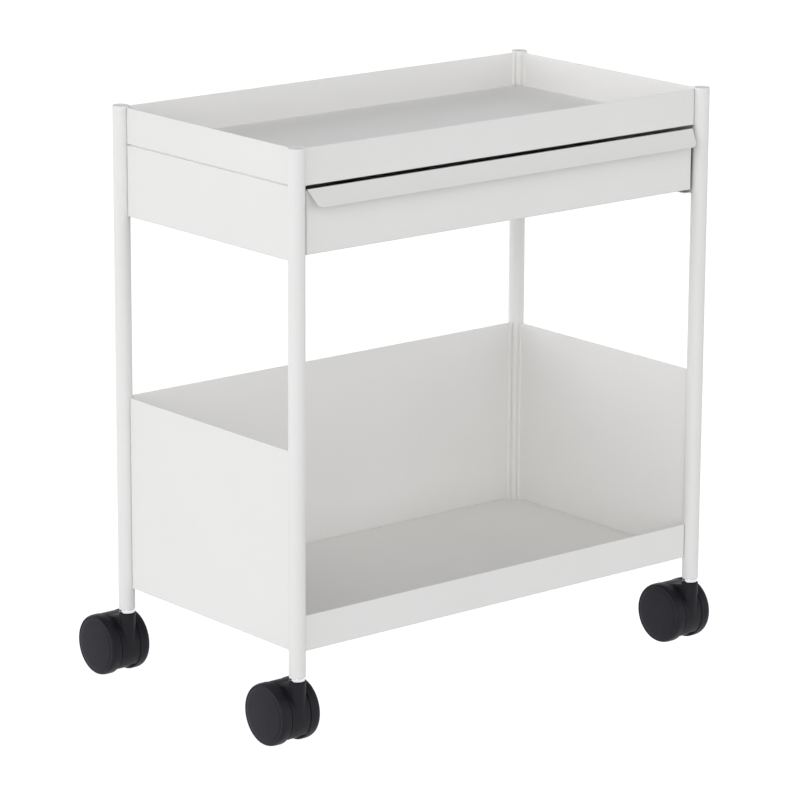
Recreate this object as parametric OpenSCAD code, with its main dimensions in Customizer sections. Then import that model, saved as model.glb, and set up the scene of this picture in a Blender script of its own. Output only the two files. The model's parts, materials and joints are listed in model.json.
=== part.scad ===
// Mobile printer stand: four round posts on twin-wheel casters carry a top tray,
// a drawer in an open-fronted housing and a low open box.
// Millimetres. +Z is up, +X is to the right of someone facing the drawer, and the
// drawer opens towards -Y. The origin is on the floor, midway under the whole stand.

/* [Posts] */
// Distance between the post axes from left to right
post_span_x = 625; // [540:1:760]
// Distance between the post axes from front to back
post_span_y = 336; // [300:1:420]
// Outside diameter of the post tube
post_d = 20; // [19:0.5:21]
// Wall thickness of the post tube
post_wall = 1.5; // [1.2:0.1:1.6]
// Height of the post tops above the floor
post_top_z = 708.6; // [640:1:820]
// Height of the lower tube ends above the floor
post_bottom_z = 86.6; // [84:0.2:92]

/* [Sheet metal] */
// Thickness of the panels, the tray and the drawer front
sheet_t = 1.2; // [1:0.1:1.4]
// Thickness of the base pan
base_t = 1.6; // [1.2:0.1:2]
// Outside radius of the curled panel ends
curl_r = 3; // [2:0.5:4]
// Length that a curled panel end turns inwards
curl_in = 4.6; // [4.2:0.2:6]
// Gap between a post and the panel ends beside it
post_gap = 0.2; // [0.1:0.1:0.5]
// Width of the flanges turned inwards along the panel edges
flange_w = 12; // [9:0.5:16]

/* [Tray] */
// Height of the tray walls
tray_h = 43.6; // [24:0.2:70]
// Distance from the post tops down to the tray rim
rim_drop = 1.8; // [0:0.2:6]
// Height of the shadow line between the tray and the housing
seam_h = 1; // [0.6:0.1:2]

/* [Drawer housing] */
// Height of the housing below the tray
housing_h = 87.2; // [80:0.2:140]

/* [Drawer] */
// Gap between the tray and the top of the drawer front
front_gap_top = 3.8; // [2:0.2:6]
// Height of the drawer front
front_h = 76; // [70:0.2:78]
// Gap between the drawer front and the post beside it
front_gap_side = 4.2; // [3:0.2:10]
// How far the handle lip stands out from the drawer front
lip_out = 16.2; // [12:0.5:24]
// Angle between the handle lip and the drawer front
lip_angle = 37; // [30:1:50]
// Height of the drawer box
drawer_box_h = 57; // [30:1:62]
// Thickness of the drawer box sheet
drawer_box_t = 1; // [0.8:0.1:1.2]
// Distance from the back of the drawer box to the back of the housing
drawer_rear_gap = 20; // [14:1:40]

/* [Lower box] */
// Height of the lower box walls above the floor
box_top_z = 353.2; // [240:0.2:450]
// Height of the lower box underside above the floor
box_bottom_z = 114.4; // [106:0.2:140]
// Height of the lip across the front of the lower box
box_lip_h = 43; // [20:0.5:90]

/* [Casters] */
// Wheel diameter
wheel_d = 75; // [70:1:76]
// Width of one wheel
wheel_w = 15; // [12:0.5:16]
// Width of the hood between the two wheels
hood_w = 27; // [22:0.5:28]
// Gap between the hood and each wheel
wheel_gap = 0.75; // [0.5:0.05:1]
// Distance from the swivel axis back to the axle
trail = 28; // [25:0.5:30]
// Height of the bright collar above the hood
collar_h = 4.8; // [3:0.2:6]

/* [Hidden] */
$fn = 64;

// Posts
post_r = post_d / 2;
tube_r = post_r - post_wall;
post_x = post_span_x / 2;
press_gap = 0.05;

// Front-to-back places, centred on the whole depth from the handle lip to the rear wheels
wheel_r = wheel_d / 2;
reach_back = trail + wheel_r;
y_front = (lip_out - post_span_y - reach_back) / 2;
y_back = y_front + post_span_y;
y_mid = (y_front + y_back) / 2;

// Panel spans: from post to post, less the post and its gap at each end
end_in = post_r + post_gap;
span_x = post_span_x - 2 * end_in;
span_y = post_span_y - 2 * end_in;
flange_end = 14;

// Heights
tray_top_z = post_top_z - rim_drop;
tray_bottom_z = tray_top_z - tray_h;
housing_bottom_z = tray_bottom_z - housing_h;
front_top_z = tray_bottom_z - front_gap_top;
front_bottom_z = front_top_z - front_h;
box_floor_z = box_bottom_z + sheet_t + base_t;

// Screws
screw_r = 2;
screw_head_r = 3.8;
screw_head_h = 1;
housing_screw_len = 6;
member_screw_len = 5;
base_screw_end = 0.5;
screw_inset = 8;
socket_r = 1.3;

// Housing bottom: it lies on the side flanges and stays behind the drawer front
bottom_front_in = 26;
bottom_side_gap = 0.4;
bottom_notch_r = post_r + 6;

// Slides: fixed channel, middle member and drawer member, one inside the other
rail_h = 36;
rail_depth = 15;
rail_len = 296;
rail_front_in = 16;
middle_h = 33;
middle_depth = 5;
middle_len = 272;
member_h = 30;
member_len = 286;
slide_gap = 0.5;
rail_mid_z = (front_top_z + front_bottom_z) / 2 - 2;
rail_x = post_x - sheet_t;
middle_x = rail_x - rail_depth + slide_gap + middle_depth;
drawer_half_w = rail_x - rail_depth - 3.8;

// Drawer
front_half_w = post_x - post_r - front_gap_side;
front_curl_r = 2;
front_curl_in = 4.4;
front_flange_w = 4;
fold_r = 1.8;
fold_y = y_front + sheet_t - fold_r;
fold_z = front_top_z - fold_r;
lip_len = (lip_out + sheet_t - fold_r - fold_r * cos(lip_angle)) / sin(lip_angle);
lip_half_w = front_half_w - 0.5;
lip_taper = 4;
lip_corner_r = 9;
nut_r = 5;
nut_h = 4;
nut_bore_h = 3.6;
box_front_y = y_front + sheet_t + nut_h;
drawer_bottom_z = front_bottom_z + 3.5;
drawer_back_y = y_back - sheet_t - drawer_rear_gap;
bumper_r = 6;
bumper_x = 240;

// Casters
axle_z = wheel_r;
axle_r = 4;
run_gap = 0.05;
axle_in_wheel = 9;
wheel_bore_depth = 9.5;
rim_round_r = 2.6;
rim_round_w = 6.5;
dome_h = 1.4;
ring_groove = 0.3;
hood_top_z = post_bottom_z - collar_h - 0.3;
hood_r = wheel_r - 0.6;
hood_step_z = 13;
hood_low_r = wheel_r - 1.2;
hood_low_back = 4;
spine_w = 21;
boss_r = 10.2;
shank_r = 4;
shank_bottom_z = 49;
peg_r = 5.5;
peg_h = 38;
socket_h = 40;
collar_top_r = post_r - 0.3;
collar_bottom_r = post_r - 0.9;

WHITE = [0.93, 0.93, 0.93];
GREY = [0.7, 0.7, 0.7];
BLACK = [0.17, 0.17, 0.19];
ZINC = [0.75, 0.76, 0.78];
CHROME = [0.85, 0.85, 0.87];
RUBBER = [0.25, 0.25, 0.25];

// Points along an arc of an ellipse
function arc(cx, cy, rx, ry, a0, a1, n) =
    [for (i = [0:n]) let (a = a0 + (a1 - a0) * i / n) [cx + rx * cos(a), cy + ry * sin(a)]];

// ---- Shapes that repeat ----

// Outline of a block whose two outer corners are round, from y = 0 inwards
module round_ended(length, depth, r) {
    translate([r - length / 2, 0]) square([length - 2 * r, depth]);
    translate([-length / 2, r]) square([length, depth - r]);
    for (side = [-1, 1])
        translate([side * (length / 2 - r), 0]) intersection() {
            translate([0, r]) circle(r = r);
            translate([-r, 0]) square([2 * r, r]);
        }
}

// A flat sheet seen from above, with both ends curled inwards (+Y)
module curled_strip(length, depth, r, t) {
    difference() {
        round_ended(length, depth, r);
        translate([0, t]) round_ended(length - 2 * t, depth, r - t);
    }
}

// An upright panel along X, its outer face on y = 0
module panel(length, height) {
    linear_extrude(height) curled_strip(length, curl_in, curl_r, sheet_t);
}

// Puts a panel on one side of the stand: 0 front, 1 right, 2 back, 3 left
module on_side(side) {
    places = [[0, y_front, 0], [post_x, y_mid, 0], [0, y_back, 0], [-post_x, y_mid, 0]];
    translate(places[side]) rotate([0, 0, 90 * side]) children();
}

// Upright cylinders at the four post axes
module at_posts(r, z0, z1) {
    for (x = [-post_x, post_x])
        for (y = [y_front, y_back])
            translate([x, y, z0]) cylinder(r = r, h = z1 - z0);
}

// Pan-head screw with its head down at z = 0 and its shank up
module screw(length) {
    difference() {
        union() {
            translate([0, 0, -screw_head_h]) cylinder(r = screw_head_r, h = screw_head_h);
            cylinder(r = screw_r, h = length);
        }
        translate([0, 0, -screw_head_h - 1]) cylinder(r = socket_r, h = 2, $fn = 6);
    }
}

// Hole that clears a screw's shank
module screw_hole(h) {
    translate([0, 0, -1]) cylinder(r = screw_r + 0.1, h = h);
}

// ---- Posts ----

module post(x, y) {
    color(WHITE) translate([x, y, post_bottom_z]) difference() {
        cylinder(r = post_r, h = post_top_z - post_bottom_z);
        translate([0, 0, -1]) cylinder(r = tube_r, h = post_top_z - post_bottom_z + 2);
    }
}

// Plug pressed into the top of a post, its flat top just below the rim
module post_cap(x, y) {
    color(GREY) translate([x, y, post_top_z]) {
        translate([0, 0, -2.3]) cylinder(r = tube_r - press_gap, h = 2);
        for (z = [-5.3, -8.3, -11.3])
            translate([0, 0, z]) cylinder(r1 = tube_r - 1, r2 = tube_r - 0.3, h = 1.5);
        translate([0, 0, -12.3]) cylinder(r = tube_r - 1.8, h = 11);
    }
}

// Sleeve inside the lower end of a post that grips the caster peg
module stem_socket(x, y) {
    color(BLACK) translate([x, y, post_bottom_z + 0.2]) difference() {
        cylinder(r = tube_r - press_gap, h = socket_h);
        translate([0, 0, -1]) cylinder(r = peg_r + press_gap, h = socket_h + 2);
    }
}

// Peg, bright collar and swivel shank of a caster, turned from one bar
module caster_stem(x, y) {
    color(CHROME) translate([x, y, 0]) {
        translate([0, 0, post_bottom_z]) cylinder(r = peg_r, h = peg_h - 5);
        translate([0, 0, post_bottom_z + peg_h - 6]) cylinder(r = peg_r - 1, h = 4);
        translate([0, 0, post_bottom_z + peg_h - 3])
            cylinder(r1 = peg_r, r2 = peg_r - 1.5, h = 3);
        translate([0, 0, post_bottom_z - collar_h + 1.4])
            cylinder(r1 = collar_bottom_r + 0.3, r2 = collar_top_r, h = collar_h - 1.4);
        translate([0, 0, post_bottom_z - collar_h])
            cylinder(r1 = collar_bottom_r - 0.7, r2 = collar_bottom_r + 0.3, h = 1.4);
        translate([0, 0, shank_bottom_z])
            cylinder(r = shank_r, h = post_bottom_z - collar_h - shank_bottom_z + 0.5);
    }
}

// ---- Tray ----

module top_tray() {
    color(WHITE) {
        translate([0, 0, tray_bottom_z]) {
            for (side = [0, 2]) on_side(side) panel(span_x, tray_h);
            for (side = [1, 3]) on_side(side) panel(span_y, tray_h);
        }
        difference() {
            translate([-post_x, y_front, tray_bottom_z])
                cube([post_span_x, post_span_y, sheet_t]);
            at_posts(end_in, tray_bottom_z - 1, tray_bottom_z + sheet_t + 1);
        }
    }
}

// ---- Drawer housing ----

// Upright wall with a top flange under the tray
module housing_wall(length) {
    wall_h = housing_h - seam_h;
    translate([0, 0, housing_bottom_z]) {
        panel(length, wall_h);
        translate([-length / 2 + flange_end, sheet_t / 2, wall_h - sheet_t])
            cube([length - 2 * flange_end, flange_w, sheet_t]);
        translate([-length / 2 + curl_r, sheet_t, wall_h - sheet_t])
            cube([length - 2 * curl_r, curl_in - sheet_t, sheet_t + seam_h]);
        translate([-length / 2 + flange_end, sheet_t, wall_h - sheet_t])
            cube([length - 2 * flange_end, flange_w - sheet_t, sheet_t + seam_h]);
    }
}

// Places of the housing screws along a side wall
housing_screw_x = [-span_y / 2 + 40, 0, span_y / 2 - 40];

module housing_side(side) {
    color(WHITE) on_side(side) difference() {
        union() {
            housing_wall(span_y);
            translate([-span_y / 2 + flange_end, sheet_t / 2, housing_bottom_z])
                cube([span_y - 2 * flange_end, flange_w, sheet_t]);
        }
        for (x = housing_screw_x)
            translate([x, screw_inset, housing_bottom_z]) screw_hole(sheet_t + 2);
    }
}

module housing_left_side() { housing_side(3); }
module housing_right_side() { housing_side(1); }

module housing_back() { color(WHITE) on_side(2) housing_wall(span_x); }

module housing_bottom() {
    z0 = housing_bottom_z + sheet_t;
    half_w = post_x - sheet_t - bottom_side_gap;
    color(WHITE) difference() {
        translate([-half_w, y_front + bottom_front_in, z0])
            cube([2 * half_w, post_span_y - bottom_front_in - sheet_t - bottom_side_gap, sheet_t]);
        at_posts(bottom_notch_r, z0 - 1, z0 + sheet_t + 1);
        for (side = [1, 3]) on_side(side)
            for (x = housing_screw_x)
                translate([x, screw_inset, z0]) screw_hole(sheet_t + 2);
    }
}

module housing_screws() {
    color(ZINC) for (side = [1, 3]) on_side(side)
        for (x = housing_screw_x)
            translate([x, screw_inset, housing_bottom_z]) screw(housing_screw_len);
}

// ---- Slides ----

// A channel along Y whose web faces the side wall and whose flanges reach inwards
module channel(side, x_web, depth, height, t, y0, length) {
    z0 = rail_mid_z - height / 2;
    translate([side > 0 ? x_web - t : -x_web, y0, z0]) cube([t, length, height]);
    for (z = [z0, z0 + height - t])
        translate([side > 0 ? x_web - depth : -x_web, y0, z]) cube([depth, length, t]);
}

module slide_channel(side) {
    color(ZINC)
        channel(side, rail_x, rail_depth, rail_h, sheet_t, y_front + rail_front_in, rail_len);
}

module slide_middle(side) {
    color(ZINC) channel(side, middle_x, middle_depth, middle_h, sheet_t,
                        y_front + rail_front_in + 2, middle_len);
}

// The drawer's member has its web against the drawer box and its flanges outwards
module drawer_member(side) {
    t = sheet_t;
    reach = middle_x - sheet_t - slide_gap - drawer_half_w;
    z0 = rail_mid_z - member_h / 2;
    y0 = y_front + rail_front_in - 2;
    color(ZINC) difference() {
        union() {
            translate([side > 0 ? drawer_half_w : -drawer_half_w - t, y0, z0])
                cube([t, member_len, member_h]);
            for (z = [z0, z0 + member_h - t])
                translate([side > 0 ? drawer_half_w : -drawer_half_w - reach, y0, z])
                    cube([reach, member_len, t]);
        }
        member_screws_at(side) screw_hole(6);
    }
}

// Places of the screws that hold a drawer member, pointing outwards
module member_screws_at(side) {
    for (y = [drawer_back_y - 50, (y_front + drawer_back_y) / 2, y_front + 50])
        translate([side * (drawer_half_w - drawer_box_t), y, rail_mid_z])
            rotate([0, side * 90, 0]) children();
}

// ---- Drawer ----

// Side view of the handle lip: the bend at the top of the drawer front and the slope below it
module lip_profile() {
    tail = 1;
    turn = 180 - lip_angle;
    inner_r = fold_r - sheet_t;
    along = [-sin(lip_angle), -cos(lip_angle)];
    outward = [-cos(lip_angle), sin(lip_angle)];
    polygon(concat([[fold_r, -tail]], arc(0, 0, fold_r, fold_r, 0, turn, 10),
                   [fold_r * outward + lip_len * along, inner_r * outward + lip_len * along],
                   arc(0, 0, inner_r, inner_r, turn, 0, 6), [[inner_r, -tail]]));
}

// What is cut from one end of the lip, seen square to it: a taper and a round corner
module lip_end_cut() {
    edge_x = lip_half_w - lip_taper;
    r = lip_corner_r;
    corner = arc(edge_x - r, lip_len - r, r, r, 0, 82, 10);
    polygon(concat([[lip_half_w + 1, 1], [lip_half_w, 1]], corner,
                   [[edge_x - lip_corner_r, lip_len + 0.3], [edge_x - lip_corner_r, lip_len + 1],
                    [lip_half_w + 1, lip_len + 1]]));
}

module handle_lip() {
    translate([0, fold_y, fold_z]) difference() {
        translate([-lip_half_w, 0, 0]) rotate([90, 0, 90])
            linear_extrude(2 * lip_half_w) lip_profile();
        for (side = [0, 1]) mirror([side, 0, 0]) rotate([-90 - lip_angle, 0, 0])
            translate([0, 0, -fold_r - 1]) linear_extrude(sheet_t + 2) lip_end_cut();
    }
}

module drawer_front() {
    color(WHITE) {
        translate([0, y_front, front_bottom_z]) {
            linear_extrude(front_h - fold_r)
                curled_strip(2 * front_half_w, front_curl_in, front_curl_r, sheet_t);
            translate([-front_half_w + front_curl_r + 1, sheet_t / 2, 0])
                cube([2 * (front_half_w - front_curl_r - 1), front_flange_w, sheet_t]);
        }
        handle_lip();
    }
}

// Round nuts welded to the back of the front
module drawer_front_nuts() {
    color(ZINC) front_screws_at() difference() {
        cylinder(r = nut_r, h = nut_h);
        translate([0, 0, -1]) cylinder(r = screw_r + 0.1, h = nut_bore_h + 1);
    }
}

// Places where the drawer box is screwed to its front, on the box and pointing forwards
module front_screws_at() {
    for (x = [-240, -80, 80, 240])
        translate([x, box_front_y, drawer_bottom_z + drawer_box_h / 2])
            rotate([90, 0, 0]) children();
}

// The drawer box: four walls, and a bottom between them
module drawer_bottom() {
    t = drawer_box_t;
    color(WHITE) translate([-drawer_half_w + t, box_front_y + t, drawer_bottom_z])
        cube([2 * (drawer_half_w - t), drawer_back_y - box_front_y - 2 * t, t]);
}

module drawer_side(side) {
    t = drawer_box_t;
    color(WHITE) difference() {
        translate([side * (drawer_half_w - t / 2) - t / 2, box_front_y, drawer_bottom_z])
            cube([t, drawer_back_y - box_front_y, drawer_box_h]);
        member_screws_at(side) screw_hole(4);
    }
}

module drawer_side_left() { drawer_side(-1); }
module drawer_side_right() { drawer_side(1); }

// Wall across the drawer, between the sides, its front face at y
module drawer_cross_wall(y) {
    t = drawer_box_t;
    translate([-drawer_half_w + t, y, drawer_bottom_z])
        cube([2 * (drawer_half_w - t), t, drawer_box_h]);
}

module drawer_inner_front() {
    color(WHITE) difference() {
        drawer_cross_wall(box_front_y);
        front_screws_at() translate([0, 0, -drawer_box_t]) screw_hole(4);
    }
}

module drawer_back() {
    color(WHITE) drawer_cross_wall(drawer_back_y - drawer_box_t);
}

// Screws through the front wall of the box into the nuts behind the front
module drawer_front_screws() {
    color(ZINC) front_screws_at() translate([0, 0, -drawer_box_t])
        screw(drawer_box_t + nut_bore_h - 0.4);
}

module drawer_member_screws() {
    color(ZINC) for (side = [-1, 1]) member_screws_at(side) screw(member_screw_len);
}

// Rubber stops on the inside of the housing back
module drawer_bumpers() {
    color(RUBBER) for (x = [-bumper_x, bumper_x])
        translate([x, y_back - sheet_t, drawer_bottom_z + drawer_box_h / 2]) rotate([90, 0, 0]) {
            cylinder(r = bumper_r, h = drawer_rear_gap - 4);
            cylinder(r1 = bumper_r, r2 = bumper_r - 1.5, h = drawer_rear_gap - 0.5);
        }
}

// ---- Lower box ----

base_screw_x = [-span_y / 2 + 40, 0, span_y / 2 - 40];
base_screw_back_x = [-200, 0, 200];

module lower_wall(length, screw_places) {
    difference() {
        translate([0, 0, box_bottom_z]) {
            panel(length, box_top_z - box_bottom_z);
            translate([-length / 2 + flange_end, sheet_t / 2, 0])
                cube([length - 2 * flange_end, flange_w, sheet_t]);
        }
        for (x = screw_places)
            translate([x, screw_inset, box_bottom_z]) screw_hole(sheet_t + 2);
    }
}

module lower_left_side() { color(WHITE) on_side(3) lower_wall(span_y, base_screw_x); }
module lower_right_side() { color(WHITE) on_side(1) lower_wall(span_y, base_screw_x); }
module lower_back() { color(WHITE) on_side(2) lower_wall(span_x, base_screw_back_x); }

// Places of the base screws, heads below
module base_screws_at() {
    for (side = [1, 3]) on_side(side)
        for (x = base_screw_x) translate([x, screw_inset, box_bottom_z]) children();
    on_side(2)
        for (x = base_screw_back_x) translate([x, screw_inset, box_bottom_z]) children();
}

// Floor of the lower box and the lip across its front, folded from one sheet
module base_pan() {
    z0 = box_bottom_z + sheet_t;
    wall_gap = 0.6;
    half_w = post_x - sheet_t - wall_gap;
    color(WHITE) {
        translate([0, 0, box_bottom_z]) on_side(0) panel(span_x, box_lip_h);
        difference() {
            translate([-half_w, y_front + sheet_t / 2, z0])
                cube([2 * half_w, post_span_y - 1.5 * sheet_t - wall_gap, base_t]);
            at_posts(post_r + 3.6, z0 - 1, z0 + base_t + 1);
            base_screws_at() screw_hole(sheet_t + base_t - base_screw_end + 1.1);
        }
        translate([-span_x / 2 + curl_r, y_front + sheet_t / 2, box_bottom_z])
            cube([span_x - 2 * curl_r, 3, sheet_t + base_t]);
    }
}

module base_screws() {
    color(ZINC) base_screws_at() screw(sheet_t + base_t - base_screw_end);
}

// ---- Casters ----

// Side view of the hood: a disc flush with the wheels, set back below at the front
module hood_profile() {
    intersection() {
        translate([trail, axle_z]) circle(r = hood_r);
        union() {
            translate([trail + hood_low_back, axle_z]) circle(r = hood_low_r);
            translate([trail - 50, hood_step_z]) square([100, 100]);
        }
    }
}

// Side view of the ridge that slopes down from the boss to the disc
module spine_profile() {
    polygon([[0, 60], [0, hood_top_z - 4.5], [9, hood_top_z - 4.5],
             [trail - 4, axle_z + hood_r - 0.4], [trail, axle_z]]);
}

module caster_hood(x, y) {
    color(BLACK) translate([x, y, 0]) difference() {
        union() {
            rotate([90, 0, 90]) translate([0, 0, -hood_w / 2])
                linear_extrude(hood_w) hood_profile();
            rotate([90, 0, 90]) translate([0, 0, -spine_w / 2])
                linear_extrude(spine_w) spine_profile();
            translate([0, 0, 36]) cylinder(r = boss_r, h = hood_top_z - 36);
        }
        translate([0, 0, shank_bottom_z - 1]) cylinder(r = shank_r + run_gap, h = 60);
        translate([-hood_w, trail, axle_z]) rotate([0, 90, 0])
            cylinder(r = axle_r + run_gap, h = 2 * hood_w);
    }
}

module caster_axle(x, y) {
    axle_len = hood_w + 2 * wheel_gap + 2 * axle_in_wheel;
    color(ZINC) translate([x - axle_len / 2, y + trail, axle_z]) rotate([0, 90, 0])
        cylinder(r = axle_r, h = axle_len);
}

// One wheel; side is -1 for the left wheel of the pair and 1 for the right
module caster_wheel(x, y, side) {
    face_r = wheel_r - rim_round_r;
    face_w = wheel_w - dome_h;
    bore_r = axle_r + run_gap;
    groove_r = face_r - 1;
    rim = arc(face_r, face_w - rim_round_w, rim_round_r, rim_round_w, 0, 90, 10);
    dome = [for (i = [0:6]) let (r = (groove_r - 0.8) * (1 - i / 6))
            [r, face_w + dome_h * (1 - pow(r / face_r, 2))]];
    color(BLACK) translate([x + side * (hood_w / 2 + wheel_gap), y + trail, axle_z])
        rotate([0, side * 90, 0]) rotate_extrude()
            polygon(concat([[bore_r, 0], [wheel_r - 0.8, 0], [wheel_r, 0.8]], rim,
                           [[groove_r, face_w], [groove_r - 0.4, face_w - ring_groove]],
                           dome, [[0, wheel_bore_depth], [bore_r, wheel_bore_depth]]));
}

// ---- Parts ----

module post_front_left() { post(-post_x, y_front); }
module post_front_right() { post(post_x, y_front); }
module post_back_left() { post(-post_x, y_back); }
module post_back_right() { post(post_x, y_back); }
module post_cap_front_left() { post_cap(-post_x, y_front); }
module post_cap_front_right() { post_cap(post_x, y_front); }
module post_cap_back_left() { post_cap(-post_x, y_back); }
module post_cap_back_right() { post_cap(post_x, y_back); }
module stem_socket_front_left() { stem_socket(-post_x, y_front); }
module stem_socket_front_right() { stem_socket(post_x, y_front); }
module stem_socket_back_left() { stem_socket(-post_x, y_back); }
module stem_socket_back_right() { stem_socket(post_x, y_back); }
module caster_stem_front_left() { caster_stem(-post_x, y_front); }
module caster_stem_front_right() { caster_stem(post_x, y_front); }
module caster_stem_back_left() { caster_stem(-post_x, y_back); }
module caster_stem_back_right() { caster_stem(post_x, y_back); }
module slide_channel_left() { slide_channel(-1); }
module slide_channel_right() { slide_channel(1); }
module slide_middle_left() { slide_middle(-1); }
module slide_middle_right() { slide_middle(1); }
module drawer_member_left() { drawer_member(-1); }
module drawer_member_right() { drawer_member(1); }
module caster_hood_front_left() { caster_hood(-post_x, y_front); }
module caster_hood_front_right() { caster_hood(post_x, y_front); }
module caster_hood_back_left() { caster_hood(-post_x, y_back); }
module caster_hood_back_right() { caster_hood(post_x, y_back); }
module caster_axle_front_left() { caster_axle(-post_x, y_front); }
module caster_axle_front_right() { caster_axle(post_x, y_front); }
module caster_axle_back_left() { caster_axle(-post_x, y_back); }
module caster_axle_back_right() { caster_axle(post_x, y_back); }
module wheel_front_left_outer() { caster_wheel(-post_x, y_front, -1); }
module wheel_front_left_inner() { caster_wheel(-post_x, y_front, 1); }
module wheel_front_right_outer() { caster_wheel(post_x, y_front, 1); }
module wheel_front_right_inner() { caster_wheel(post_x, y_front, -1); }
module wheel_back_left_outer() { caster_wheel(-post_x, y_back, -1); }
module wheel_back_left_inner() { caster_wheel(-post_x, y_back, 1); }
module wheel_back_right_outer() { caster_wheel(post_x, y_back, 1); }
module wheel_back_right_inner() { caster_wheel(post_x, y_back, -1); }

post_front_left();
post_front_right();
post_back_left();
post_back_right();
post_cap_front_left();
post_cap_front_right();
post_cap_back_left();
post_cap_back_right();
stem_socket_front_left();
stem_socket_front_right();
stem_socket_back_left();
stem_socket_back_right();
caster_stem_front_left();
caster_stem_front_right();
caster_stem_back_left();
caster_stem_back_right();
top_tray();
housing_left_side();
housing_right_side();
housing_back();
housing_bottom();
housing_screws();
slide_channel_left();
slide_channel_right();
drawer_bumpers();
lower_left_side();
lower_right_side();
lower_back();
base_pan();
base_screws();
slide_middle_left();
slide_middle_right();
drawer_front();
drawer_front_nuts();
drawer_bottom();
drawer_side_left();
drawer_side_right();
drawer_inner_front();
drawer_back();
drawer_member_left();
drawer_member_right();
drawer_front_screws();
drawer_member_screws();
caster_hood_front_left();
caster_hood_front_right();
caster_hood_back_left();
caster_hood_back_right();
caster_axle_front_left();
caster_axle_front_right();
caster_axle_back_left();
caster_axle_back_right();
wheel_front_left_outer();
wheel_front_left_inner();
wheel_front_right_outer();
wheel_front_right_inner();
wheel_back_left_outer();
wheel_back_left_inner();
wheel_back_right_outer();
wheel_back_right_inner();
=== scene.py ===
"""A mobile printer stand of white powder-coated sheet steel and tube, on black twin-wheel casters.

Metres, +Z up, the drawer opens towards -Y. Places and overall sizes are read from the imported
frame. The measures below, such as sheet thickness and bend radii, are typed in.
"""
import json
import math

import bmesh
import bpy
from mathutils import Matrix, Vector


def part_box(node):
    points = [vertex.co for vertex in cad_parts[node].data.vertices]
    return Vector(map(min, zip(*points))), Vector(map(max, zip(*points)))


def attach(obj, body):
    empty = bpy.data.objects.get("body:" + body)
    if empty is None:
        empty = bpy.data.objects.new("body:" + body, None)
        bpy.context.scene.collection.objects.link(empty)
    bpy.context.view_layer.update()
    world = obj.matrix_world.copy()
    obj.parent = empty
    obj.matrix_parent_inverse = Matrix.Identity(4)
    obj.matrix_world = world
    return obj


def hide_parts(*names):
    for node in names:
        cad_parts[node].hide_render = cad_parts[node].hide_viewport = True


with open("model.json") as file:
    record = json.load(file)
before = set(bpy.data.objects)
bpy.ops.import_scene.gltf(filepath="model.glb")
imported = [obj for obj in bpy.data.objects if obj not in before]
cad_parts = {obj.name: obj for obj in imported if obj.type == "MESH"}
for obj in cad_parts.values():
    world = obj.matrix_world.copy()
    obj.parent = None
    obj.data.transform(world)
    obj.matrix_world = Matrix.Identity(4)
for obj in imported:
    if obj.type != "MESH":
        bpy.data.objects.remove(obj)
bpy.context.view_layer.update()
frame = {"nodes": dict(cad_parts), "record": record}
MM = 0.001

# ---- Measures of the sheet metal and the casters ----

CORNERS = ("front_left", "front_right", "back_left", "back_right")
SHEET_T = 1.2 * MM
BASE_T = 1.6 * MM
DRAWER_T = 1.0 * MM
CURL_R = 3.0 * MM
BEND_R = 1.6 * MM
TUBE_WALL = 1.5 * MM
SEAM_H = 1.0 * MM
RELIEF = 0.4 * MM
EDGE_ROUND = 0.3 * MM
CURL_IN = 4.6 * MM
FLANGE_W = 12 * MM
SEAM_BEND_R = 1.4 * MM
FRONT_CURL_R = 2 * MM
FRONT_CURL_IN = 4.4 * MM
FRONT_FLANGE_W = 4 * MM
FOLD_R = 1.8 * MM
LIP_OUT = 16.2 * MM
LIP_ANGLE = 37
LIP_TAPER = 4 * MM
LIP_CORNER_R = 9 * MM
WHEEL_R = 37.5 * MM
DOME_H = 1.4 * MM
SHOULDER_IN = 2.6 * MM
SHOULDER_W = 6.5 * MM
HOOD_R = WHEEL_R - 0.6 * MM
HOOD_LOW_R = WHEEL_R - 1.2 * MM
HOOD_LOW_BACK = 4 * MM
HOOD_STEP_Z = 13 * MM
BOSS_R = 10.2 * MM
BOSS_ROUND = 1.2 * MM
SPINE_W = 21 * MM
BORE_R = 4.05 * MM


def middle(node):
    """Centre of a CAD node's box."""
    low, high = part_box(node)
    return (low + high) / 2


def size(node):
    """Width, depth and height of a CAD node's box."""
    low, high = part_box(node)
    return high - low


# ---- Places read from the frame ----

POSTS = {corner: middle("post_" + corner) for corner in CORNERS}
POST_R = size("post_front_left").x / 2
POST_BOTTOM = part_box("post_front_left")[0].z
POST_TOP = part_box("post_front_left")[1].z
POST_X = POSTS["front_right"].x
Y_FRONT = POSTS["front_left"].y
Y_BACK = POSTS["back_left"].y
Y_MID = (Y_FRONT + Y_BACK) / 2

# ---- Mesh helpers ----


def arc(cx, cy, rx, ry, a0, a1, steps):
    """Points along an arc of an ellipse, angles in degrees."""
    turn = [math.radians(a0 + (a1 - a0) * i / steps) for i in range(steps + 1)]
    return [(cx + rx * math.cos(a), cy + ry * math.sin(a)) for a in turn]


def side_matrix(side):
    """Puts a wall drawn along X, its outer face on y = 0, on one side of the stand.

    Side 0 is the front, 1 the right, 2 the back and 3 the left.
    """
    places = ((0, Y_FRONT), (POST_X, Y_MID), (0, Y_BACK), (-POST_X, Y_MID))
    x, y = places[side]
    return Matrix.Translation((x, y, 0)) @ Matrix.Rotation(math.radians(90 * side), 4, "Z")


def make_object(name, bm, material):
    """Turns a bmesh into an object in the scene with one material."""
    mesh = bpy.data.meshes.new(name)
    bmesh.ops.remove_doubles(bm, verts=bm.verts, dist=1e-6)
    bm.normal_update()
    bm.to_mesh(mesh)
    bm.free()
    obj = bpy.data.objects.new(name, mesh)
    bpy.context.scene.collection.objects.link(obj)
    obj.data.materials.append(material)
    return obj


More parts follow.
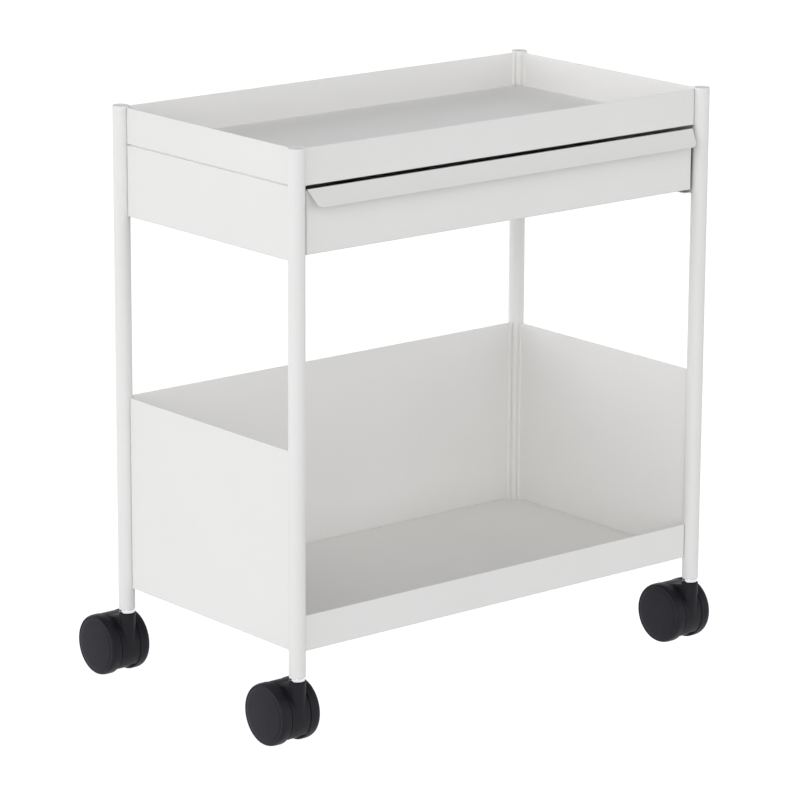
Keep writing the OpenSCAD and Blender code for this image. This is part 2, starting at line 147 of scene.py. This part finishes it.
def round_edges(obj, width, steps=2, angle=40):
    """Bevels the edges sharper than angle, with the flat faces kept flat in the shading."""
    obj.data.shade_smooth()
    bevel = obj.modifiers.new("round_edges", "BEVEL")
    bevel.width = width
    bevel.segments = steps
    bevel.limit_method = "ANGLE"
    bevel.angle_limit = math.radians(angle)
    bevel.use_clamp_overlap = True
    weighted = obj.modifiers.new("flat_faces", "WEIGHTED_NORMAL")
    weighted.keep_sharp = True
    return obj


def thicken(obj, thickness):
    """Gives a folded surface its sheet thickness, inwards from the outer face."""
    solid = obj.modifiers.new("sheet", "SOLIDIFY")
    solid.thickness = thickness
    solid.offset = -1
    solid.use_even_offset = True
    return obj


def bake_modifiers(obj):
    """Applies the modifiers to the mesh."""
    deps = bpy.context.evaluated_depsgraph_get()
    deps.update()
    mesh = bpy.data.meshes.new_from_object(obj.evaluated_get(deps))
    obj.modifiers.clear()
    obj.data = mesh
    return obj


def lathe(bm, profile, steps=64, matrix=Matrix.Identity(4), closed=True):
    """Turns (radius, height) points about Z. A point on the axis becomes a pole."""
    rings = []
    for r, z in profile:
        if r < 1e-7:
            rings.append([bm.verts.new(matrix @ Vector((0, 0, z)))])
            continue
        ring = []
        for i in range(steps):
            a = 2 * math.pi * i / steps
            ring.append(bm.verts.new(matrix @ Vector((r * math.cos(a), r * math.sin(a), z))))
        rings.append(ring)
    pairs = list(zip(rings, rings[1:]))
    if closed:
        pairs.append((rings[-1], rings[0]))
    for low, high in pairs:
        for i in range(steps):
            j = (i + 1) % steps
            if len(low) == 1 and len(high) == 1:
                break
            if len(low) == 1:
                bm.faces.new((low[0], high[j], high[i]))
            elif len(high) == 1:
                bm.faces.new((low[i], low[j], high[0]))
            else:
                bm.faces.new((low[i], low[j], high[j], high[i]))
    bmesh.ops.recalc_face_normals(bm, faces=bm.faces)


def prism(bm, outline, z0, z1, matrix=Matrix.Identity(4)):
    """A closed upright block with this outline."""
    low = [bm.verts.new(matrix @ Vector((x, y, z0))) for x, y in outline]
    high = [bm.verts.new(matrix @ Vector((x, y, z1))) for x, y in outline]
    count = len(outline)
    for i in range(count):
        j = (i + 1) % count
        bm.faces.new((low[i], low[j], high[j], high[i]))
    bm.faces.new(list(reversed(low)))
    bm.faces.new(high)


def folded_wall(bm, side, length, tops, z_top, z_bottom, bottoms, z_end_top, z_end_bottom,
                curl_r, curl_in, top_half=None):
    """One wall as the outer face of a folded sheet, both ends curled inwards.

    tops and bottoms are (y, z) points beyond the upright part, in order from the top down, and
    top_half gives the half width at each point of tops. Returns the two ends of the last row.
    """
    matrix = side_matrix(side)
    straight = length / 2 - curl_r - RELIEF
    left_curl = [(-length / 2, curl_in)]
    left_curl += arc(-length / 2 + curl_r, curl_r, curl_r, curl_r, 180, 270, 8)
    right_curl = [(-x, y) for x, y in reversed(left_curl)]

    def vert(x, y, z):
        return bm.verts.new(matrix @ Vector((x, y, z)))

    def quad(a, b, c, d):
        bm.faces.new((a, b, c, d))

    corners = {x: (vert(x, 0, z_top), vert(x, 0, z_bottom)) for x in (-straight, straight)}
    for curl, near, first in ((left_curl, -straight, False), (right_curl, straight, True)):
        columns = [(vert(x, y, z_top), vert(x, y, z_bottom)) for x, y in curl]
        ends = [(vert(x, y, z_end_top), vert(x, y, z_end_bottom)) for x, y in curl]
        joint = (vert(near, 0, z_end_top), vert(near, 0, z_end_bottom))
        if first:
            columns.insert(0, corners[near])
            ends.insert(0, joint)
        else:
            columns.append(corners[near])
            ends.append(joint)
        for i in range(len(columns) - 1):
            (a0, a1), (b0, b1) = columns[i], columns[i + 1]
            (e0, e1), (f0, f1) = ends[i], ends[i + 1]
            quad(a0, a1, b1, b0)
            quad(e0, a0, b0, f0)
            quad(a1, e1, f1, b1)
    (left0, left1), (right0, right1) = corners[-straight], corners[straight]
    quad(left0, left1, right1, right0)
    halves = top_half or [straight] * len(tops)
    row = (left0, right0)
    for (y, z), half in reversed(list(zip(tops, halves))):
        new = (vert(-half, y, z), vert(half, y, z))
        quad(new[0], row[0], row[1], new[1])
        row = new
    row = (left1, right1)
    for y, z in bottoms:
        new = (vert(-straight, y, z), vert(straight, y, z))
        quad(row[0], new[0], new[1], row[1])
        row = new
    return row


def bend_in(z_bottom, reach=None, radius=BEND_R):
    """Points of a bend from an upright wall to a level floor at z_bottom, out to reach."""
    turn = arc(radius, z_bottom + radius, radius, radius, 180, 270, 6)[1:]
    return turn + ([(reach, z_bottom)] if reach else [])


def bend_over(z_top, reach, radius=BEND_R):
    """Points of a level flange at z_top and the bend from it down to an upright wall."""
    return [(reach, z_top)] + arc(radius, z_top - radius, radius, radius, 90, 180, 6)[:-1]


def ride_and_slot(obj, body, slot, *nodes):
    """Every piece rides on a body and stands for its CAD nodes. The slot is not used."""
    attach(obj, body)
    if nodes:
        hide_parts(*nodes)
    return obj


# ---- Materials ----


def principled(name, color, roughness, metallic=0.0):
    """A material with its Principled shader, its values set on the shader's own sockets."""
    material = bpy.data.materials.new(name)
    material.use_nodes = True
    shader = material.node_tree.nodes["Principled BSDF"]
    shader.inputs["Base Color"].default_value = (*color, 1)
    shader.inputs["Roughness"].default_value = roughness
    shader.inputs["Metallic"].default_value = metallic
    return material, shader


def add_noise(material, scale, detail=2.0, stretch=(1, 1, 1)):
    """Noise in the piece's own coordinates."""
    nodes, links = material.node_tree.nodes, material.node_tree.links
    coords = nodes.new("ShaderNodeTexCoord")
    mapping = nodes.new("ShaderNodeMapping")
    mapping.inputs["Scale"].default_value = stretch
    noise = nodes.new("ShaderNodeTexNoise")
    noise.inputs["Scale"].default_value = scale
    noise.inputs["Detail"].default_value = detail
    links.new(coords.outputs["Object"], mapping.inputs["Vector"])
    links.new(mapping.outputs["Vector"], noise.inputs["Vector"])
    return noise.outputs["Fac"]


def vary_color(material, shader, noise, low, high):
    """Base colour that drifts between two near tones."""
    nodes, links = material.node_tree.nodes, material.node_tree.links
    ramp = nodes.new("ShaderNodeValToRGB")
    ramp.color_ramp.elements[0].position = 0.3
    ramp.color_ramp.elements[0].color = (*low, 1)
    ramp.color_ramp.elements[1].position = 0.7
    ramp.color_ramp.elements[1].color = (*high, 1)
    links.new(noise, ramp.inputs["Fac"])
    links.new(ramp.outputs["Color"], shader.inputs["Base Color"])


def vary_roughness(material, shader, noise, low, high):
    """Roughness that drifts between two values."""
    nodes, links = material.node_tree.nodes, material.node_tree.links
    spread = nodes.new("ShaderNodeMapRange")
    spread.inputs["To Min"].default_value = low
    spread.inputs["To Max"].default_value = high
    links.new(noise, spread.inputs["Value"])
    links.new(spread.outputs["Result"], shader.inputs["Roughness"])


def add_bump(material, shader, noise, strength, depth):
    """Fine relief from a noise."""
    nodes, links = material.node_tree.nodes, material.node_tree.links
    bump = nodes.new("ShaderNodeBump")
    bump.inputs["Strength"].default_value = strength
    bump.inputs["Distance"].default_value = depth
    links.new(noise, bump.inputs["Height"])
    links.new(bump.outputs["Normal"], shader.inputs["Normal"])


def powder_coat():
    """White powder coat: a soft sheen over fine orange peel."""
    material, shader = principled("white_powder_coat", (0.84, 0.836, 0.828), 0.5)
    drift = add_noise(material, 9, 3)
    vary_color(material, shader, drift, (0.835, 0.823, 0.804), (0.849, 0.837, 0.819))
    vary_roughness(material, shader, add_noise(material, 260, 2), 0.42, 0.56)
    add_bump(material, shader, add_noise(material, 950, 3), 0.22, 0.00012)
    return material


def moulded_plastic(name, low, high, roughness, grain, specular=0.5):
    """Moulded plastic with a fine eroded grain."""
    material, shader = principled(name, high, roughness)
    shader.inputs["Specular IOR Level"].default_value = specular
    vary_color(material, shader, add_noise(material, 60, 3), low, high)
    patches = add_noise(material, 500, 2)
    vary_roughness(material, shader, patches, roughness - 0.07, roughness + 0.07)
    add_bump(material, shader, add_noise(material, grain, 2), 0.3, 0.00008)
    return material


def plated_metal(name, color, roughness, grain, stretch=(1, 1, 1)):
    """Plated steel with a faint, slightly uneven polish."""
    material, shader = principled(name, color, roughness, 1.0)
    low = tuple(0.93 * c for c in color)
    vary_color(material, shader, add_noise(material, 120, 3), low, color)
    vary_roughness(material, shader, add_noise(material, grain, 2, stretch),
                   roughness * 0.7, roughness * 1.4)
    return material


WHITE = powder_coat()
HOOD_BLACK = moulded_plastic(
    "hood_nylon", (0.012, 0.011, 0.014), (0.015, 0.014, 0.018), 0.5, 1400, 0.14)
WHEEL_BLACK = moulded_plastic(
    "wheel_nylon", (0.013, 0.012, 0.017), (0.016, 0.015, 0.021), 0.48, 1400, 0.14)
SLEEVE_BLACK = moulded_plastic(
    "sleeve_nylon", (0.04, 0.04, 0.042), (0.055, 0.055, 0.058), 0.5, 1200)
CAP_WHITE = moulded_plastic("cap_plastic", (0.76, 0.76, 0.75), (0.79, 0.79, 0.78), 0.5, 1100)
BUMPER = moulded_plastic("bumper_rubber", (0.13, 0.13, 0.13), (0.18, 0.18, 0.18), 0.8, 900)
CHROME = plated_metal("bright_chrome", (0.80, 0.80, 0.82), 0.09, 300)
ZINC = plated_metal("zinc_plate", (0.62, 0.63, 0.65), 0.3, 400, (1, 0.06, 1))
SLOT_MATERIALS = {
    "white_paint": WHITE, "cap_plastic": CAP_WHITE, "black_plastic": SLEEVE_BLACK,
    "hood_plastic": HOOD_BLACK, "wheel_plastic": WHEEL_BLACK, "chrome": CHROME,
    "zinc_steel": ZINC, "bumper_rubber": BUMPER,
}

# ---- Posts ----


def build_posts():
    """Tubes with softly rounded rims, open at both ends."""
    rim = 0.4 * MM
    outer, inner = POST_R, POST_R - TUBE_WALL
    tube = []
    tube += arc(outer - rim, POST_TOP - rim, rim, rim, 0, 90, 4)
    tube += arc(inner + rim, POST_TOP - rim, rim, rim, 90, 180, 4)
    tube += arc(inner + rim, POST_BOTTOM + rim, rim, rim, 180, 270, 3)
    tube += arc(outer - rim, POST_BOTTOM + rim, rim, rim, 270, 360, 3)
    for corner, place in POSTS.items():
        node = "post_" + corner
        bm = bmesh.new()
        lathe(bm, tube, 72, Matrix.Translation((place.x, place.y, 0)))
        obj = make_object(node + "_tube", bm, WHITE)
        obj.data.shade_smooth()
        ride_and_slot(obj, "frame", "white_paint", node)


def build_caps():
    """Off-white plugs: a slightly crowned disc with a fine ring, and the finned shank below it."""
    for corner, place in POSTS.items():
        node = "post_cap_" + corner
        low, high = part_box(node)
        r, top = (high.x - low.x) / 2, high.z
        depth, shank_r = top - low.z, r - 1.8 * MM
        profile = [(0, low.z), (r - 2.2 * MM, low.z), (shank_r, low.z + 0.4 * MM)]
        for fin in (0.25, 0.5, 0.72):
            z = low.z + fin * depth
            profile += [(shank_r, z), (r - 0.2 * MM, z + 0.4 * MM), (shank_r, z + 0.8 * MM)]
        profile += [(shank_r, top - 1.9 * MM), (r, top - 1.9 * MM), (r, top - 0.5 * MM)]
        profile += arc(r - 0.5 * MM, top - 0.55 * MM, 0.5 * MM, 0.4 * MM, 20, 90, 4)
        profile += [(r - 1.6 * MM, top - 0.12 * MM), (shank_r, top - 0.22 * MM),
                    (r - 2.0 * MM, top - 0.1 * MM), (r * 0.4, top - 0.02 * MM), (0, top)]
        bm = bmesh.new()
        lathe(bm, profile, 48, Matrix.Translation((place.x, place.y, 0)), closed=False)
        obj = make_object(node + "_plug", bm, CAP_WHITE)
        obj.data.shade_smooth()
        obj.data.set_sharp_from_angle(angle=math.radians(50))
        ride_and_slot(obj, "frame", "cap_plastic", node)


# ---- Sheet metal ----


def wall_length(side):
    """Length of a wall from post to post, the same gap as the CAD walls have."""
    if side in (0, 2):
        return size("lower_back").x
    return size("lower_left_side").y


def floor_between(bm, rows, z):
    """Closes a floor between the inner rows of four walls, hollowed round each post."""
    loop = []
    centres = ((POST_X, Y_FRONT), (POST_X, Y_BACK), (-POST_X, Y_BACK), (-POST_X, Y_FRONT))
    for i, (cx, cy) in enumerate(centres):
        loop += list(rows[i])
        start, end = rows[i][1].co, rows[(i + 1) % 4][0].co
        r0, r1 = ((math.hypot(v.x - cx, v.y - cy)) for v in (start, end))
        a0 = math.degrees(math.atan2(start.y - cy, start.x - cx))
        a1 = math.degrees(math.atan2(end.y - cy, end.x - cx))
        sweep = (a1 - a0 + 180) % 360 - 180
        steps = 10
        for k in range(1, steps):
            a, r = math.radians(a0 + sweep * k / steps), r0 + (r1 - r0) * k / steps
            loop.append(bm.verts.new((cx + r * math.cos(a), cy + r * math.sin(a), z)))
    bm.faces.new(list(reversed(loop)))


def finish_sheet(name, bm, body, thickness, *nodes):
    """Gives a folded surface its thickness, its soft edges and its place on a body."""
    obj = make_object(name, bm, WHITE)
    thicken(obj, thickness)
    round_edges(obj, EDGE_ROUND, 2, 60)
    return ride_and_slot(obj, body, "white_paint", *nodes)


def build_tray():
    """The top tray: four walls bent up from one floor."""
    low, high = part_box("top_tray")
    bm = bmesh.new()
    rows = []
    for side in range(4):
        rows.append(folded_wall(bm, side, wall_length(side), [], high.z, low.z + BEND_R,
                                bend_in(low.z), high.z, low.z, CURL_R, CURL_IN))
    floor_between(bm, rows, low.z)
    finish_sheet("tray_sheet", bm, "frame", SHEET_T, "top_tray")


def build_housing_walls():
    """Side and back walls of the drawer housing, flanged above and below."""
    for node, side in (("housing_right_side", 1), ("housing_back", 2), ("housing_left_side", 3)):
        low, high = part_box(node)
        top, length = high.z - SEAM_H, wall_length(side)
        bottoms = bend_in(low.z, FLANGE_W) if side != 2 else []
        z_bottom = low.z + BEND_R if bottoms else low.z
        bm = bmesh.new()
        folded_wall(bm, side, length, bend_over(top, FLANGE_W, SEAM_BEND_R), top - SEAM_BEND_R,
                    z_bottom, bottoms, top, low.z, CURL_R, CURL_IN)
        finish_sheet(node + "_sheet", bm, "frame", SHEET_T, node)
        half = length / 2 - CURL_R
        strip = bmesh.new()
        near = 2 * SHEET_T
        prism(strip, [(-half, near), (half, near), (half, CURL_IN), (-half, CURL_IN)],
              top - 0.2 * MM, high.z, side_matrix(side))
        piece = make_object(node + "_seam", strip, WHITE)
        round_edges(piece, 0.1 * MM, 1)
        ride_and_slot(piece, "frame", "white_paint", node)


def build_lower_walls():
    """Side and back walls of the lower box, flanged below."""
    for node, side in (("lower_right_side", 1), ("lower_back", 2), ("lower_left_side", 3)):
        low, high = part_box(node)
        bm = bmesh.new()
        folded_wall(bm, side, wall_length(side), [], high.z, low.z + BEND_R,
                    bend_in(low.z, FLANGE_W), high.z, low.z, CURL_R, CURL_IN)
        finish_sheet(node + "_sheet", bm, "frame", SHEET_T, node)


def build_base_pan():
    """Floor of the lower box and the lip across its front, folded from one sheet."""
    low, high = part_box("base_pan")
    under = low.z + SHEET_T
    bm = bmesh.new()
    step = [(4.5 * MM, low.z), (7 * MM, under)]
    rows = [folded_wall(bm, 0, wall_length(0), [], high.z, low.z + BEND_R,
                        bend_in(low.z) + step, high.z, low.z, CURL_R, CURL_IN)]
    near = rows[0][1].co
    reach = math.hypot(near.x - POST_X, near.y - Y_FRONT)
    edge = SHEET_T + 0.6 * MM
    back = math.sqrt(reach ** 2 - edge ** 2)
    x, y0, y1 = POST_X - edge, Y_FRONT + back, Y_BACK - back
    x_rear, y_rear = POST_X - back, Y_BACK - edge
    for ends in (((x, y0), (x, y1)), ((x_rear, y_rear), (-x_rear, y_rear)),
                 ((-x, y1), (-x, y0))):
        rows.append([bm.verts.new((*end, under)) for end in ends])
    floor_between(bm, rows, under)
    finish_sheet("base_pan_sheet", bm, "frame", BASE_T, "base_pan")


# ---- Drawer ----


def lip_rows(fold_y, fold_z, half_root):
    """Inner side of the handle lip, from its free edge to the fold.

    Returns the (y, z) of each row and the half width at each row.
    """
    angle = math.radians(LIP_ANGLE)
    inner = FOLD_R - SHEET_T
    length = (LIP_OUT + SHEET_T - FOLD_R - FOLD_R * math.cos(angle)) / math.sin(angle)
    outward = (-math.cos(angle), math.sin(angle))
    edge = half_root - LIP_TAPER
    rows = []
    for a in range(90, -1, -9):
        depth = length - LIP_CORNER_R * (1 - math.sin(math.radians(a)))
        rows.append((depth, edge - LIP_CORNER_R * (1 - math.cos(math.radians(a)))))
    rows.append((0, half_root))
    tops = [(fold_y + inner * outward[0] - depth * math.sin(angle),
             fold_z + inner * outward[1] - depth * math.cos(angle)) for depth, _ in rows]
    halves = [half for _, half in rows]
    turn = arc(fold_y, fold_z, inner, inner, 180 - LIP_ANGLE, 0, 10)[1:-1]
    return tops + turn, halves + [half_root] * len(turn)


def build_drawer_front():
    """The drawer front with its full-width handle lip, folded over from the top edge."""
    low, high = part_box("drawer_front")
    half = size("drawer_front").x / 2
    fold_y, fold_z = SHEET_T - FOLD_R, high.z - FOLD_R
    tops, halves = lip_rows(fold_y, fold_z, half - 0.5 * MM)
    bm = bmesh.new()
    folded_wall(bm, 0, 2 * half, tops, fold_z, low.z + BEND_R, bend_in(low.z, FRONT_FLANGE_W),
                fold_z, low.z, FRONT_CURL_R, FRONT_CURL_IN, halves)
    finish_sheet("drawer_front_sheet", bm, "drawer", SHEET_T, "drawer_front")


def build_drawer_box():
    """The drawer pan: a floor and four walls of thin sheet with bent corners."""
    nodes = ("drawer_bottom", "drawer_side_left", "drawer_side_right", "drawer_inner_front",
             "drawer_back")
    boxes = [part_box(node) for node in nodes]
    low = Vector([min(box[0][i] for box in boxes) for i in range(3)])
    high = Vector([max(box[1][i] for box in boxes) for i in range(3)])
    bm = bmesh.new()
    base = [bm.verts.new((x, y, low.z)) for x, y in
            ((low.x, low.y), (high.x, low.y), (high.x, high.y), (low.x, high.y))]
    rim = [bm.verts.new((v.co.x, v.co.y, high.z)) for v in base]
    bm.faces.new(list(reversed(base)))
    for i in range(4):
        j = (i + 1) % 4
        bm.faces.new((base[i], base[j], rim[j], rim[i]))
    bent = [e for e in bm.edges if not e.is_boundary]
    bmesh.ops.bevel(bm, geom=bent, offset=1.8 * MM, segments=5, profile=0.5, affect="EDGES")
    finish_sheet("drawer_pan", bm, "drawer", DRAWER_T, *nodes)


# ---- Casters ----


def cut_or_join(obj, other, operation):
    """Applies one boolean and removes its second body."""
    step = obj.modifiers.new("solid", "BOOLEAN")
    step.operation = operation
    step.object = other
    step.solver = "EXACT"
    bake_modifiers(obj)
    bpy.data.objects.remove(other)


def rod(name, r, start, end):
    """A plain bar between two points, for cutting bores."""
    start, end = Vector(start), Vector(end)
    turn = (end - start).to_track_quat("Z", "Y").to_matrix().to_4x4()
    bm = bmesh.new()
    lathe(bm, [(0, 0), (r, 0), (r, (end - start).length), (0, (end - start).length)], 48,
          Matrix.Translation(start) @ turn, closed=False)
    return make_object(name, bm, HOOD_BLACK)


def hood_outline(axle_z, trail):
    """Side view of the hood: a disc flush with the wheels, set back below at the front."""
    rise = math.degrees(math.asin((axle_z - HOOD_STEP_Z) / HOOD_R))
    rise_low = math.degrees(math.asin((axle_z - HOOD_STEP_Z) / HOOD_LOW_R))
    cross = (HOOD_R ** 2 - HOOD_LOW_R ** 2 + HOOD_LOW_BACK ** 2) / (2 * HOOD_LOW_BACK)
    end = math.degrees(math.asin((cross - HOOD_LOW_BACK) / HOOD_LOW_R))
    start = math.degrees(math.asin(cross / HOOD_R))
    points = arc(trail, axle_z, HOOD_R, HOOD_R, -rise, 180 + rise, 64)
    points += arc(trail + HOOD_LOW_BACK, axle_z, HOOD_LOW_R, HOOD_LOW_R,
                  180 + rise_low, 270 + end, 14)
    points += arc(trail, axle_z, HOOD_R, HOOD_R, 270 + start, 360 - rise, 10)[:-1]
    return points


def spine_outline(top, axle_z, trail):
    """Side view of the ridge that slopes down from the boss to the disc."""
    disc_top, ridge_z = axle_z + HOOD_R, top - 4.5 * MM
    return [(trail, axle_z), (trail + 4 * MM, disc_top - 1 * MM),
            (trail - 4 * MM, disc_top - 0.4 * MM), (9 * MM, ridge_z), (0, ridge_z), (0, 60 * MM)]


def build_hoods():
    """Black hoods between the wheels, each with a round boss under the stem collar."""
    for corner, place in POSTS.items():
        node = "caster_hood_" + corner
        low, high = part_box(node)
        axle = middle("caster_axle_" + corner)
        half, top = (high.x - low.x) / 2, high.z
        shift = Matrix.Translation((place.x, place.y, 0))
        trail = axle.y - place.y
        upright = shift @ Matrix(((0, 0, 1, 0), (1, 0, 0, 0), (0, 1, 0, 0), (0, 0, 0, 1)))
        bodies = []
        for name, outline, reach, width in (
                (node + "_shell", hood_outline(axle.z, trail), half, 0.5 * MM),
                ("spine", spine_outline(top, axle.z, trail), SPINE_W / 2, 2.5 * MM)):
            bm = bmesh.new()
            prism(bm, outline, -reach, reach, upright)
            body = make_object(name, bm, HOOD_BLACK)
            round_edges(body, width, 4, 50)
            body.modifiers.remove(body.modifiers["flat_faces"])
            bodies.append(bake_modifiers(body))
        hood = bodies[0]
        cut_or_join(hood, bodies[1], "UNION")
        bm = bmesh.new()
        core_r = BOSS_R - BOSS_ROUND
        boss = [(0, 36 * MM), (core_r, 36 * MM), (BOSS_R - 0.4 * MM, 56 * MM),
                (BOSS_R, top - 10 * MM)]
        boss += arc(core_r, top - BOSS_ROUND, BOSS_ROUND, BOSS_ROUND, 0, 90, 5) + [(0, top)]
        lathe(bm, boss, 64, shift, closed=False)
        cut_or_join(hood, make_object("boss", bm, HOOD_BLACK), "UNION")
        cut_or_join(hood, rod("stem_bore", BORE_R, (place.x, place.y, 48 * MM),
                              (place.x, place.y, top + 5 * MM)), "DIFFERENCE")
        cut_or_join(hood, rod("axle_bore", BORE_R, (low.x - 5 * MM, axle.y, axle.z),
                              (high.x + 5 * MM, axle.y, axle.z)), "DIFFERENCE")
        hood.data.shade_smooth()
        hood.data.set_sharp_from_angle(angle=math.radians(35))
        ride_and_slot(hood, "caster_" + corner, "hood_plastic", node)


def build_wheels():
    """Broad black wheels: a soft shoulder, a fine ring and a slightly domed face."""
    for corner, place in POSTS.items():
        for which in ("outer", "inner"):
            node = "wheel_%s_%s" % (corner, which)
            low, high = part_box(node)
            centre, width = (low + high) / 2, high.x - low.x
            side = 1 if centre.x > place.x else -1
            r, face = WHEEL_R, width - DOME_H
            face_r = r - SHOULDER_IN
            profile = [(0, 9.5 * MM), (BORE_R, 9.5 * MM), (BORE_R, 0.3 * MM),
                       (BORE_R + 0.3 * MM, 0),
                       (8.6 * MM, 0), (9 * MM, 0.4 * MM), (9.4 * MM, 2.6 * MM),
                       (r - 6.4 * MM, 2.6 * MM), (r - 5.8 * MM, 0.4 * MM), (r - 5.4 * MM, 0),
                       (r - 1 * MM, 0)]
            profile += arc(r - 1 * MM, 1 * MM, 1 * MM, 1 * MM, -70, 0, 4)
            profile += arc(face_r, face - SHOULDER_W, SHOULDER_IN, SHOULDER_W, 0, 86, 14)
            ring = face_r - 1.6 * MM
            profile += [(ring + 0.35 * MM, face + 0.02 * MM), (ring + 0.1 * MM, face - 0.16 * MM),
                        (ring - 0.1 * MM, face - 0.16 * MM), (ring - 0.35 * MM, face + 0.08 * MM)]
            for k in range(1, 9):
                t = (1 - k / 8) * 0.96
                profile.append((ring * t, face + DOME_H * (1 - t ** 2)))
            matrix = Matrix.Translation((low.x if side > 0 else high.x, centre.y, centre.z))
            matrix = matrix @ Matrix.Rotation(side * math.pi / 2, 4, "Y")
            bm = bmesh.new()
            lathe(bm, profile, 96, matrix, closed=False)
            obj = make_object(node + "_disc", bm, WHEEL_BLACK)
            obj.data.shade_smooth()
            obj.data.set_sharp_from_angle(angle=math.radians(48))
            ride_and_slot(obj, node + "_body", "wheel_plastic", node)


def build_stems():
    """Bright stems: a tapered collar with one groove under the post, peg above, shank below."""
    for corner, place in POSTS.items():
        node = "caster_stem_" + corner
        low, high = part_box(node)
        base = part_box("caster_hood_" + corner)[1].z + 0.3 * MM
        shapes = [(0, low.z), (3.4, low.z), (4, low.z + 0.6 * MM), (4, base), (8.4, base),
                  (9.1, base + 0.5 * MM), (9.3, base + 1.3 * MM), (8.9, base + 1.5 * MM),
                  (8.9, base + 1.9 * MM), (9.3, base + 2.1 * MM), (9.7, POST_BOTTOM - 0.5 * MM),
                  (9.4, POST_BOTTOM), (5.5, POST_BOTTOM), (5.5, high.z - 6 * MM),
                  (4.5, high.z - 5.6 * MM), (4.5, high.z - 3.4 * MM), (5.5, high.z - 3 * MM),
                  (4, high.z - 0.2 * MM), (3.6, high.z), (0, high.z)]
        bm = bmesh.new()
        lathe(bm, [(r if r == 0 else r * MM, z) for r, z in shapes], 64,
              Matrix.Translation((place.x, place.y, 0)), closed=False)
        obj = make_object(node + "_turned", bm, CHROME)
        obj.data.shade_smooth()
        obj.data.set_sharp_from_angle(angle=math.radians(35))
        ride_and_slot(obj, "frame", "chrome", node)


# ---- CAD nodes that keep their shape ----


def finish_cad_nodes():
    """Gives every CAD node that is still shown its material and softly rounded edges."""
    slots = {s["node"]: s["material_slot"] for s in frame["record"]["subparts"]}
    for node, obj in frame["nodes"].items():
        obj.data.materials.clear()
        obj.data.materials.append(SLOT_MATERIALS[slots[node]])
        if obj.hide_render:
            continue
        weld = obj.modifiers.new("weld", "WELD")
        weld.merge_threshold = 0.00001
        round_edges(obj, 0.25 * MM, 2, 40)


# ---- Stage, light and camera ----


FLOOR_HALF = 12
FLOOR_LIGHT = 1.05
HORIZON_LIGHT = 1.5
ZENITH_LIGHT = 0.1
GROUND_LIGHT = 0.42
LEFT_LIGHT = 1.38
RIGHT_LIGHT = 0.84
KEY_POWER = 8
KEY_SIZE = 1.2
KEY_PLACE = Vector((-2.6, -2.2, 3.0))
KEY_TARGET = Vector((0, 0, 0.4))
CAMERA_PLACE = Vector((-3.0528, -3.6876, 1.5738))
CAMERA_AZIMUTH = -39.612
CAMERA_ELEVATION = 14.595
CAMERA_ROLL = 0.291
CAMERA_LENS = 181.65


def build_stage():
    """A pale floor, a soft light at the front left, and a surround brightest at the horizon."""
    scene = bpy.context.scene
    scene.view_settings.view_transform = "Standard"
    bm = bmesh.new()
    bm.faces.new([bm.verts.new((x * FLOOR_HALF, y * FLOOR_HALF, 0))
                  for x, y in ((-1, -1), (1, -1), (1, 1), (-1, 1))])
    material, shader = principled("pale_floor", (0.03, 0.03, 0.03), 0.9)
    shader.inputs["Emission Color"].default_value = (1, 1, 1, 1)
    shader.inputs["Emission Strength"].default_value = FLOOR_LIGHT
    floor = make_object("floor", bm, material)
    floor.visible_diffuse = False

    world = bpy.data.worlds.new("surround")
    scene.world = world
    world.use_nodes = True
    nodes, links = world.node_tree.nodes, world.node_tree.links
    coords = nodes.new("ShaderNodeTexCoord")
    axes = nodes.new("ShaderNodeSeparateXYZ")
    links.new(coords.outputs["Generated"], axes.inputs["Vector"])

    def spread(value, low, high, at_low, at_high):
        step = nodes.new("ShaderNodeMapRange")
        step.inputs["From Min"].default_value = low
        step.inputs["From Max"].default_value = high
        step.inputs["To Min"].default_value = at_low
        step.inputs["To Max"].default_value = at_high
        links.new(value, step.inputs["Value"])
        return step.outputs["Result"]

    def times(first, second):
        product = nodes.new("ShaderNodeMath")
        product.operation = "MULTIPLY"
        links.new(first, product.inputs[0])
        links.new(second, product.inputs[1])
        return product.outputs["Value"]

    above = spread(axes.outputs["Z"], 0.2, 0.9, HORIZON_LIGHT, ZENITH_LIGHT)
    below = spread(axes.outputs["Z"], -0.02, 0.0, GROUND_LIGHT / HORIZON_LIGHT, 1.0)
    left = spread(axes.outputs["X"], -0.9, 0.9, LEFT_LIGHT, RIGHT_LIGHT)
    background = world.node_tree.nodes["Background"]
    background.inputs["Color"].default_value = (0.97, 0.984, 1, 1)
    links.new(times(times(above, below), left), background.inputs["Strength"])

    light = bpy.data.lights.new("key", "AREA")
    light.shape = "SQUARE"
    light.size = KEY_SIZE
    light.energy = KEY_POWER
    key = bpy.data.objects.new("key", light)
    key.location = KEY_PLACE
    key.rotation_euler = (KEY_TARGET - KEY_PLACE).to_track_quat("-Z", "Y").to_euler()
    scene.collection.objects.link(key)


def build_camera():
    """The camera of the reference view: a long lens from the front left, slightly above."""
    data = bpy.data.cameras.new("camera")
    data.sensor_width = 36
    data.lens = CAMERA_LENS
    data.clip_end = 60
    camera = bpy.data.objects.new("camera", data)
    camera.matrix_world = (
        Matrix.Translation(CAMERA_PLACE)
        @ Matrix.Rotation(math.radians(CAMERA_AZIMUTH), 4, "Z")
        @ Matrix.Rotation(math.radians(90 - CAMERA_ELEVATION), 4, "X")
        @ Matrix.Rotation(math.radians(CAMERA_ROLL), 4, "Z")
    )
    bpy.context.scene.collection.objects.link(camera)
    bpy.context.scene.camera = camera


build_camera()
build_posts()
build_caps()
build_tray()
build_housing_walls()
build_lower_walls()
build_base_pan()
build_drawer_front()
build_drawer_box()
build_stems()
build_hoods()
build_wheels()
finish_cad_nodes()
build_stage()
